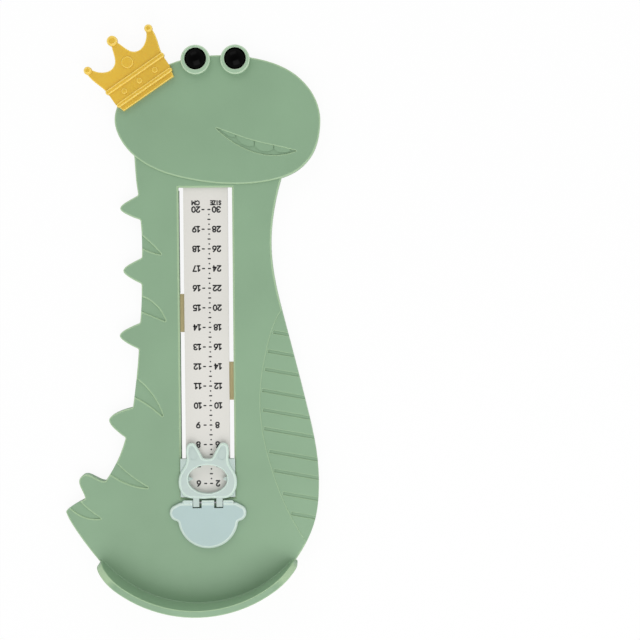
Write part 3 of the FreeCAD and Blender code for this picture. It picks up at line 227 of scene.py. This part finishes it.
def ink():
    """Flat black printing ink, a little uneven."""
    nodes = Nodes("print_ink")
    shader = nodes.shader
    dark, light = linear(20, 21, 22), linear(36, 37, 38)
    patch_size, gloss_size, grain_size, grain_depth = 0.6 * MM, 0.4 * MM, 0.15 * MM, 0.004 * MM
    wet, dry = 0.42, 0.6
    patch = nodes.spread(nodes.noise(patch_size, detail=4.0), 0.0, 1.0)
    nodes.link(nodes.mix(patch, dark, light), shader.inputs["Base Color"])
    nodes.link(nodes.spread(nodes.noise(gloss_size), wet, dry), shader.inputs["Roughness"])
    nodes.link(nodes.bump(nodes.noise(grain_size), grain_depth, 0.5), shader.inputs["Normal"])
    return nodes.material


# The second colour given to each plastic is its painted highlight on rounded rims; rim picks how wide that
# highlight is.
GREEN = moulded("green_plastic", linear(134, 166, 134), linear(166, 194, 156), 0.42, glow=0.06)
WHITE = moulded("white_strip", linear(219, 217, 211), linear(226, 224, 219), 0.45, tone=0.02, grain=0.15)
TAN = moulded("tan_plastic", linear(222, 204, 152), linear(226, 210, 164), 0.45, tone=0.06)
MINT = moulded("mint_plastic", linear(175, 197, 195), linear(208, 224, 216), 0.36, tone=0.03, glow=0.12,
               rim=(SOFT_HIGHLIGHT_TILT, SOFT_HIGHLIGHT_FLAT))
PALE_MINT = moulded("pale_mint_plastic", linear(186, 202, 196), linear(208, 226, 216), 0.36, tone=0.03,
                    glow=0.12, rim=(SOFT_HIGHLIGHT_TILT, SOFT_HIGHLIGHT_FLAT))
RING = moulded("eye_ring_plastic", linear(160, 190, 160), linear(190, 212, 184), 0.34, tone=0.03, glow=0.1)
YELLOW = moulded("yellow_plastic", linear(219, 180, 58), linear(240, 208, 96), 0.30, tone=0.06, grain=0.1,
                 glow=0.3, coat=0.2)
BLACK = moulded("black_plastic", linear(2, 2, 2), linear(3, 3, 3), 0.18, tone=0.1, grain=0.05, shine=0.05)
STEEL = plated_steel()
INK = ink()

FINISHES = {
    "base_plate": GREEN,
    "ruler_strip": WHITE,
    "strip_bracket_left": TAN,
    "strip_bracket_right": TAN,
    "assembly_screws": STEEL,
    "slider": PALE_MINT,
    "toe_flap": MINT,
    "hinge_pin": STEEL,
    "crown": YELLOW,
    "eye_ring_left": RING,
    "eye_ring_right": RING,
    "pupil_left": BLACK,
    "pupil_right": BLACK,
}


def dress_nodes():
    """Give each CAD node its finish."""
    for node, material in FINISHES.items():
        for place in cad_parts[node].material_slots:
            place.material = material


# ---------------------------------------------------------------------------------------------
# Printed scale
# ---------------------------------------------------------------------------------------------
# Lengths and places here are in millimetres, and places are on the scale.
INK_THICKNESS = 0.03
INK_LEVELS = 5                              # crossing strokes differ by one of so many steps of ink
CM = 10.0
FIRST_CM, LAST_CM = 6, 20
DOTS, HALF = (2.5, 7.5), 5.0                # places of the marks between two centimetres
SIZE_STEP, SIZE_ZERO = 2, 10                # sizes for each centimetre, and their row's start
LAST_SINGLE = 9                             # the last number that has one figure
DIGIT_HEIGHT = 2.7
DIGIT_WIDTH = 1.62
DIGIT_STEP = 2.28                           # from one figure of a number to the next
ONE_LESS = 0.28                             # how much less room a "1" takes than another figure
STROKE = 0.74
HEADING_HIGH = 0.73                         # height of a heading in shares of a number's height
CM_WIDE, SIZE_WIDE = 0.9, 0.62              # width of its letters in shares of a figure's width
HEADING_Y = 203.4
LEFT_NUMBER_X, RIGHT_NUMBER_X = -4.95, 5.5
RIGHT_HEADING_X = 5.2
LEFT_SINGLE_X, RIGHT_SINGLE_X = -4.8, 5.0
LEFT_DASH, RIGHT_DASH = (-2.1, -0.5), (0.9, 2.5)
DASH_HEIGHT = 0.66
DOT_WIDTH = 0.8
HALF_DASH = (0.85, 2.5)
ARC_STEPS = 6                               # straight parts between two points of a smooth line

# Strokes of the figures and letters in shares of their width and height.  Points inside "curve"
# strokes lie on a smooth line, and the others are joined straight.
GLYPHS = {
    "0": [("curve", [(0.5, 0.0), (0.93, 0.2), (1.0, 0.5), (0.93, 0.8), (0.5, 1.0), (0.07, 0.8),
                     (0.0, 0.5), (0.07, 0.2), (0.5, 0.0)])],
    "1": [("lines", [(0.12, 0.76), (0.55, 1.0), (0.55, 0.0)]), ("lines", [(0.15, 0.0), (0.95, 0.0)])],
    "2": [("curve", [(0.03, 0.76), (0.18, 0.95), (0.5, 1.0), (0.85, 0.93), (0.96, 0.73), (0.82, 0.52),
                     (0.42, 0.25), (0.0, 0.0)]), ("lines", [(0.0, 0.0), (1.0, 0.0)])],
    "3": [("curve", [(0.05, 0.84), (0.22, 0.97), (0.5, 1.0), (0.85, 0.93), (0.93, 0.76), (0.82, 0.6),
                     (0.42, 0.53)]),
          ("curve", [(0.42, 0.53), (0.85, 0.46), (1.0, 0.27), (0.85, 0.06), (0.48, 0.0), (0.2, 0.03),
                     (0.0, 0.16)])],
    "4": [("lines", [(0.75, 0.0), (0.75, 1.0), (0.0, 0.28), (1.0, 0.28)])],
    "5": [("lines", [(0.92, 1.0), (0.16, 1.0), (0.1, 0.53)]),
          ("curve", [(0.1, 0.53), (0.45, 0.62), (0.84, 0.54), (1.0, 0.32), (0.86, 0.07), (0.45, 0.0),
                     (0.18, 0.02), (0.0, 0.14)])],
    "6": [("curve", [(0.8, 1.0), (0.4, 0.78), (0.1, 0.5), (0.0, 0.3), (0.12, 0.07), (0.5, 0.0),
                     (0.88, 0.07), (1.0, 0.3), (0.87, 0.53), (0.5, 0.6), (0.16, 0.52)])],
    "7": [("lines", [(0.02, 1.0), (0.98, 1.0), (0.34, 0.0)])],
    "8": [("curve", [(0.5, 0.54), (0.83, 0.62), (0.92, 0.77), (0.8, 0.94), (0.5, 1.0), (0.2, 0.94),
                     (0.08, 0.77), (0.17, 0.62), (0.5, 0.54)]),
          ("curve", [(0.5, 0.54), (0.87, 0.45), (1.0, 0.27), (0.87, 0.06), (0.5, 0.0), (0.13, 0.06),
                     (0.0, 0.27), (0.13, 0.45), (0.5, 0.54)])],
    "9": [("curve", [(0.2, 0.0), (0.6, 0.22), (0.9, 0.5), (1.0, 0.7), (0.88, 0.93), (0.5, 1.0),
                     (0.12, 0.93), (0.0, 0.7), (0.13, 0.47), (0.5, 0.4), (0.84, 0.48)])],
    "C": [("curve", [(0.97, 0.82), (0.8, 0.95), (0.5, 1.0), (0.12, 0.86), (0.0, 0.5), (0.12, 0.14),
                     (0.5, 0.0), (0.8, 0.05), (0.97, 0.18)])],
    "M": [("lines", [(0.0, 0.0), (0.0, 1.0), (0.55, 0.3), (1.1, 1.0), (1.1, 0.0)])],
    "S": [("curve", [(0.93, 0.86), (0.5, 1.0), (0.12, 0.85), (0.2, 0.6), (0.8, 0.42), (0.94, 0.16),
                     (0.5, 0.0), (0.04, 0.15)])],
    "I": [("lines", [(0.5, 0.0), (0.5, 1.0)])],
    "Z": [("lines", [(0.02, 1.0), (0.98, 1.0), (0.02, 0.0), (0.98, 0.0)])],
    "E": [("lines", [(0.98, 1.0), (0.08, 1.0), (0.08, 0.0), (0.98, 0.0)]),
          ("lines", [(0.08, 0.52), (0.85, 0.52)])],
}


def smooth(points):
    """Points along a smooth line through the given ones (a Catmull-Rom curve)."""
    line = []
    ends = [points[-2] if points[0] == points[-1] else points[0]]
    ends.append(points[1] if points[0] == points[-1] else points[-1])
    held = [ends[0]] + points + [ends[1]]
    for before, start, end, after in zip(held, held[1:], held[2:], held[3:]):
        for step in range(ARC_STEPS):
            share = step / ARC_STEPS
            line.append(tuple(
                start[i] + 0.5 * share * (end[i] - before[i] + share * (
                    2 * before[i] - 5 * start[i] + 4 * end[i] - after[i] + share * (
                        3 * (start[i] - end[i]) + after[i] - before[i])))
                for i in range(2)))
    return line + [points[-1]]


def add_stroke(print_mesh, points, width, level):
    """A thin printed line of one width along points on the scale, with round ends."""
    top = Vector((0, 0, STRIP_TOP + (INK_THICKNESS + level) * MM))
    foot = Vector((0, 0, STRIP_TOP))
    half = width / 2
    outline = []
    count = len(points)
    for side in (1, -1):
        order = range(count) if side > 0 else range(count - 1, -1, -1)
        for i in order:
            x0, y0 = points[max(i - 1, 0)]
            x1, y1 = points[min(i + 1, count - 1)]
            length = math.hypot(x1 - x0, y1 - y0)
            along = ((x1 - x0) / length, (y1 - y0) / length)
            across = (-along[1] * side * half, along[0] * side * half)
            x, y = points[i]
            outline.append((x + across[0], y + across[1]))
    high = [print_mesh.verts.new(on_scale(x, y) + top) for x, y in outline]
    low = [print_mesh.verts.new(on_scale(x, y) + foot) for x, y in outline]
    last = len(outline) - 1
    for i in range(count - 1):
        print_mesh.faces.new([high[i + 1], high[i], high[last - i], high[last - i - 1]])
    for i in range(last + 1):
        j = (i + 1) % (last + 1)
        print_mesh.faces.new([high[i], high[j], low[j], low[i]])
    for x, y in (points[0], points[-1]):
        add_disc(print_mesh, x, y, half, level)


def add_disc(print_mesh, x, y, radius, level):
    """A round printed dot."""
    top = Vector((0, 0, STRIP_TOP + (INK_THICKNESS + level) * MM))
    foot = Vector((0, 0, STRIP_TOP))
    count = 4 * ARC_STEPS
    turns = [2 * math.pi * i / count for i in range(count)]
    rim = [(x + radius * math.cos(turn), y + radius * math.sin(turn)) for turn in turns]
    high = [print_mesh.verts.new(on_scale(*point) + top) for point in rim]
    low = [print_mesh.verts.new(on_scale(*point) + foot) for point in rim]
    print_mesh.faces.new(high)
    for i in range(count):
        j = (i + 1) % count
        print_mesh.faces.new([high[j], high[i], low[i], low[j]])


def add_word(print_mesh, word, x, y, wide=1.0, high=1.0):
    """A number or word whose middle is at a place, upside down as seen from the heel."""
    width, height, step = DIGIT_WIDTH * wide, DIGIT_HEIGHT * high, DIGIT_STEP * wide
    start = -(step * (len(word) - 1) + width) / 2
    for number, sign in enumerate(word):
        begin = x - start - number * step + word[:number].count("1") * ONE_LESS
        for part, (kind, points) in enumerate(GLYPHS[sign]):
            line = smooth(points) if kind == "curve" else points
            placed = [(begin - u * width, y + height / 2 - v * height) for u, v in line]
            pieces = [placed] if kind == "curve" else list(zip(placed, placed[1:]))
            for piece, ends in enumerate(pieces):
                level = INK_THICKNESS * (part + piece % 2) / INK_LEVELS
                add_stroke(print_mesh, list(ends), STROKE * math.sqrt(high), level)


def make_print():
    """Marks, centimetres and shoe sizes on the strip, as one thin layer of ink."""
    print_mesh = bmesh.new()
    dot_x = sum(RIGHT_DASH) / 2

    def dash(x0, x1, y):
        end = DASH_HEIGHT / 2
        add_stroke(print_mesh, [(x0 + end, y), (x1 - end, y)], DASH_HEIGHT, 0.0)

    for cm in range(FIRST_CM, LAST_CM + 1):
        y = cm * CM
        size = SIZE_STEP * cm - SIZE_ZERO
        dash(*LEFT_DASH, y)
        dash(*RIGHT_DASH, y)
        add_word(print_mesh, str(cm), LEFT_NUMBER_X if cm > LAST_SINGLE else LEFT_SINGLE_X, y)
        add_word(print_mesh, str(size), RIGHT_NUMBER_X if size > LAST_SINGLE else RIGHT_SINGLE_X, y)
        if cm < LAST_CM:
            for part in DOTS:
                add_disc(print_mesh, dot_x, y + part, DOT_WIDTH / 2, 0.0)
            dash(*HALF_DASH, y + HALF)
    add_word(print_mesh, "CM", LEFT_NUMBER_X, HEADING_Y, CM_WIDE, HEADING_HIGH)
    add_word(print_mesh, "SIZE", RIGHT_HEADING_X, HEADING_Y, SIZE_WIDE, HEADING_HIGH)
    mesh = bpy.data.meshes.new("scale_print")
    print_mesh.to_mesh(mesh)
    print_mesh.free()
    mesh.materials.append(INK)
    piece = bpy.data.objects.new("scale_print", mesh)
    bpy.context.scene.collection.objects.link(piece)
    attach(piece, "base")


# ---------------------------------------------------------------------------------------------
# Floor, light and camera
# ---------------------------------------------------------------------------------------------
FLOOR_WHITE = 0.92                          # how far the floor is brought to white for the camera
FLOOR_HALF = 1.5                            # half of its width, in metres
FLOOR_DROP = 0.2 * MM                       # keeps it clear of the gauge's underside
FLOOR_DARK, FLOOR_LIGHT = [0.90, 0.90, 0.90, 1.0], [0.93, 0.93, 0.93, 1.0]
FLOOR_TONES = 0.2                           # how wide its faint tones are, in metres
HORIZON, ZENITH = 1.15, 0.4                 # strength of the studio's walls and of its ceiling
# Each lamp's place and size in metres, and its power in watts.
LAMPS = {
    "key": ((0.2, -0.6, 1.12), (1.2, 0.9), 7.4),
    "fill": ((-0.3, 0.95, 0.75), (0.9, 0.5), 2.0),
}
LENS, SENSOR = 98.95, 36.0
CAMERA_PLACE = on_scale(57.80, 185.46, 901.0)
CAMERA_TILT = math.radians(-2.69)
CAMERA_ROLL = math.radians(-0.4)
CLIP_START = 0.01


def make_floor():
    """A plain white floor that keeps some of the gauge's shadow."""
    mesh = bpy.data.meshes.new("floor")
    corners = [(x * FLOOR_HALF, y * FLOOR_HALF, 0) for x, y in ((-1, -1), (1, -1), (1, 1), (-1, 1))]
    mesh.from_pydata(corners, [], [(0, 1, 2, 3)])
    nodes = Nodes("floor_paper")
    tone = nodes.spread(nodes.noise(FLOOR_TONES), 0.0, 1.0)
    colour = nodes.mix(tone, FLOOR_DARK, FLOOR_LIGHT)
    nodes.link(colour, nodes.shader.inputs["Base Color"])
    nodes.shader.inputs["Roughness"].default_value = 0.9
    nodes.shader.inputs["Specular IOR Level"].default_value = 0.0
    lit = nodes.tree.nodes.new("ShaderNodeEmission")
    seen = nodes.tree.nodes.new("ShaderNodeLightPath")
    share = nodes.tree.nodes.new("ShaderNodeMath")
    share.operation = "MULTIPLY"
    share.inputs[1].default_value = FLOOR_WHITE
    nodes.link(seen.outputs["Is Camera Ray"], share.inputs[0])
    blend = nodes.tree.nodes.new("ShaderNodeMixShader")
    nodes.link(share.outputs["Value"], blend.inputs["Fac"])
    nodes.link(nodes.shader.outputs["BSDF"], blend.inputs[1])
    nodes.link(lit.outputs["Emission"], blend.inputs[2])
    nodes.link(blend.outputs["Shader"], nodes.tree.nodes["Material Output"].inputs["Surface"])
    mesh.materials.append(nodes.material)
    floor = bpy.data.objects.new("floor", mesh)
    bpy.context.scene.collection.objects.link(floor)
    floor.location.z = -FLOOR_DROP


def make_lamp(name, place, size, power):
    """A rectangular lamp that faces the middle of the gauge."""
    light = bpy.data.lights.new(name, "AREA")
    light.shape = "RECTANGLE"
    light.size, light.size_y = size
    light.energy = power
    lamp = bpy.data.objects.new(name, light)
    bpy.context.scene.collection.objects.link(lamp)
    lamp.location = place
    lamp.rotation_euler = (-Vector(place)).to_track_quat("-Z", "Y").to_euler()


def make_light():
    """A studio with light walls and a darker ceiling, a soft key from the heel and a weak fill."""
    world = bpy.data.worlds.new("studio")
    bpy.context.scene.world = world
    world.use_nodes = True
    tree = world.node_tree
    background = tree.nodes["Background"]
    background.inputs["Color"].default_value = (1.0, 1.0, 1.0, 1.0)
    direction = tree.nodes.new("ShaderNodeTexCoord")
    parts = tree.nodes.new("ShaderNodeSeparateXYZ")
    tree.links.new(direction.outputs["Generated"], parts.inputs["Vector"])
    level = tree.nodes.new("ShaderNodeMapRange")
    level.inputs["To Min"].default_value = HORIZON
    level.inputs["To Max"].default_value = ZENITH
    tree.links.new(parts.outputs["Z"], level.inputs["Value"])
    tree.links.new(level.outputs["Result"], background.inputs["Strength"])
    for name, (place, size, power) in LAMPS.items():
        make_lamp(name, place, size, power)


def make_camera():
    """A camera almost straight above the gauge, which lies left of the middle of its view."""
    back = Vector((0, -math.sin(CAMERA_TILT), math.cos(CAMERA_TILT)))
    up = Vector((0, math.cos(CAMERA_TILT), math.sin(CAMERA_TILT)))
    side = Vector((1, 0, 0))
    right = math.cos(CAMERA_ROLL) * side + math.sin(CAMERA_ROLL) * up
    above = -math.sin(CAMERA_ROLL) * side + math.cos(CAMERA_ROLL) * up
    data = bpy.data.cameras.new("camera")
    data.lens = LENS
    data.sensor_width = SENSOR
    data.clip_start = CLIP_START
    camera = bpy.data.objects.new("camera", data)
    bpy.context.scene.collection.objects.link(camera)
    turn = Matrix((right, above, back)).transposed()
    camera.matrix_world = Matrix.Translation(CAMERA_PLACE) @ turn.to_4x4()
    bpy.context.scene.camera = camera


dress_nodes()
make_print()
make_floor()
make_light()
make_camera()
bpy.context.scene.view_settings.view_transform = "Standard"
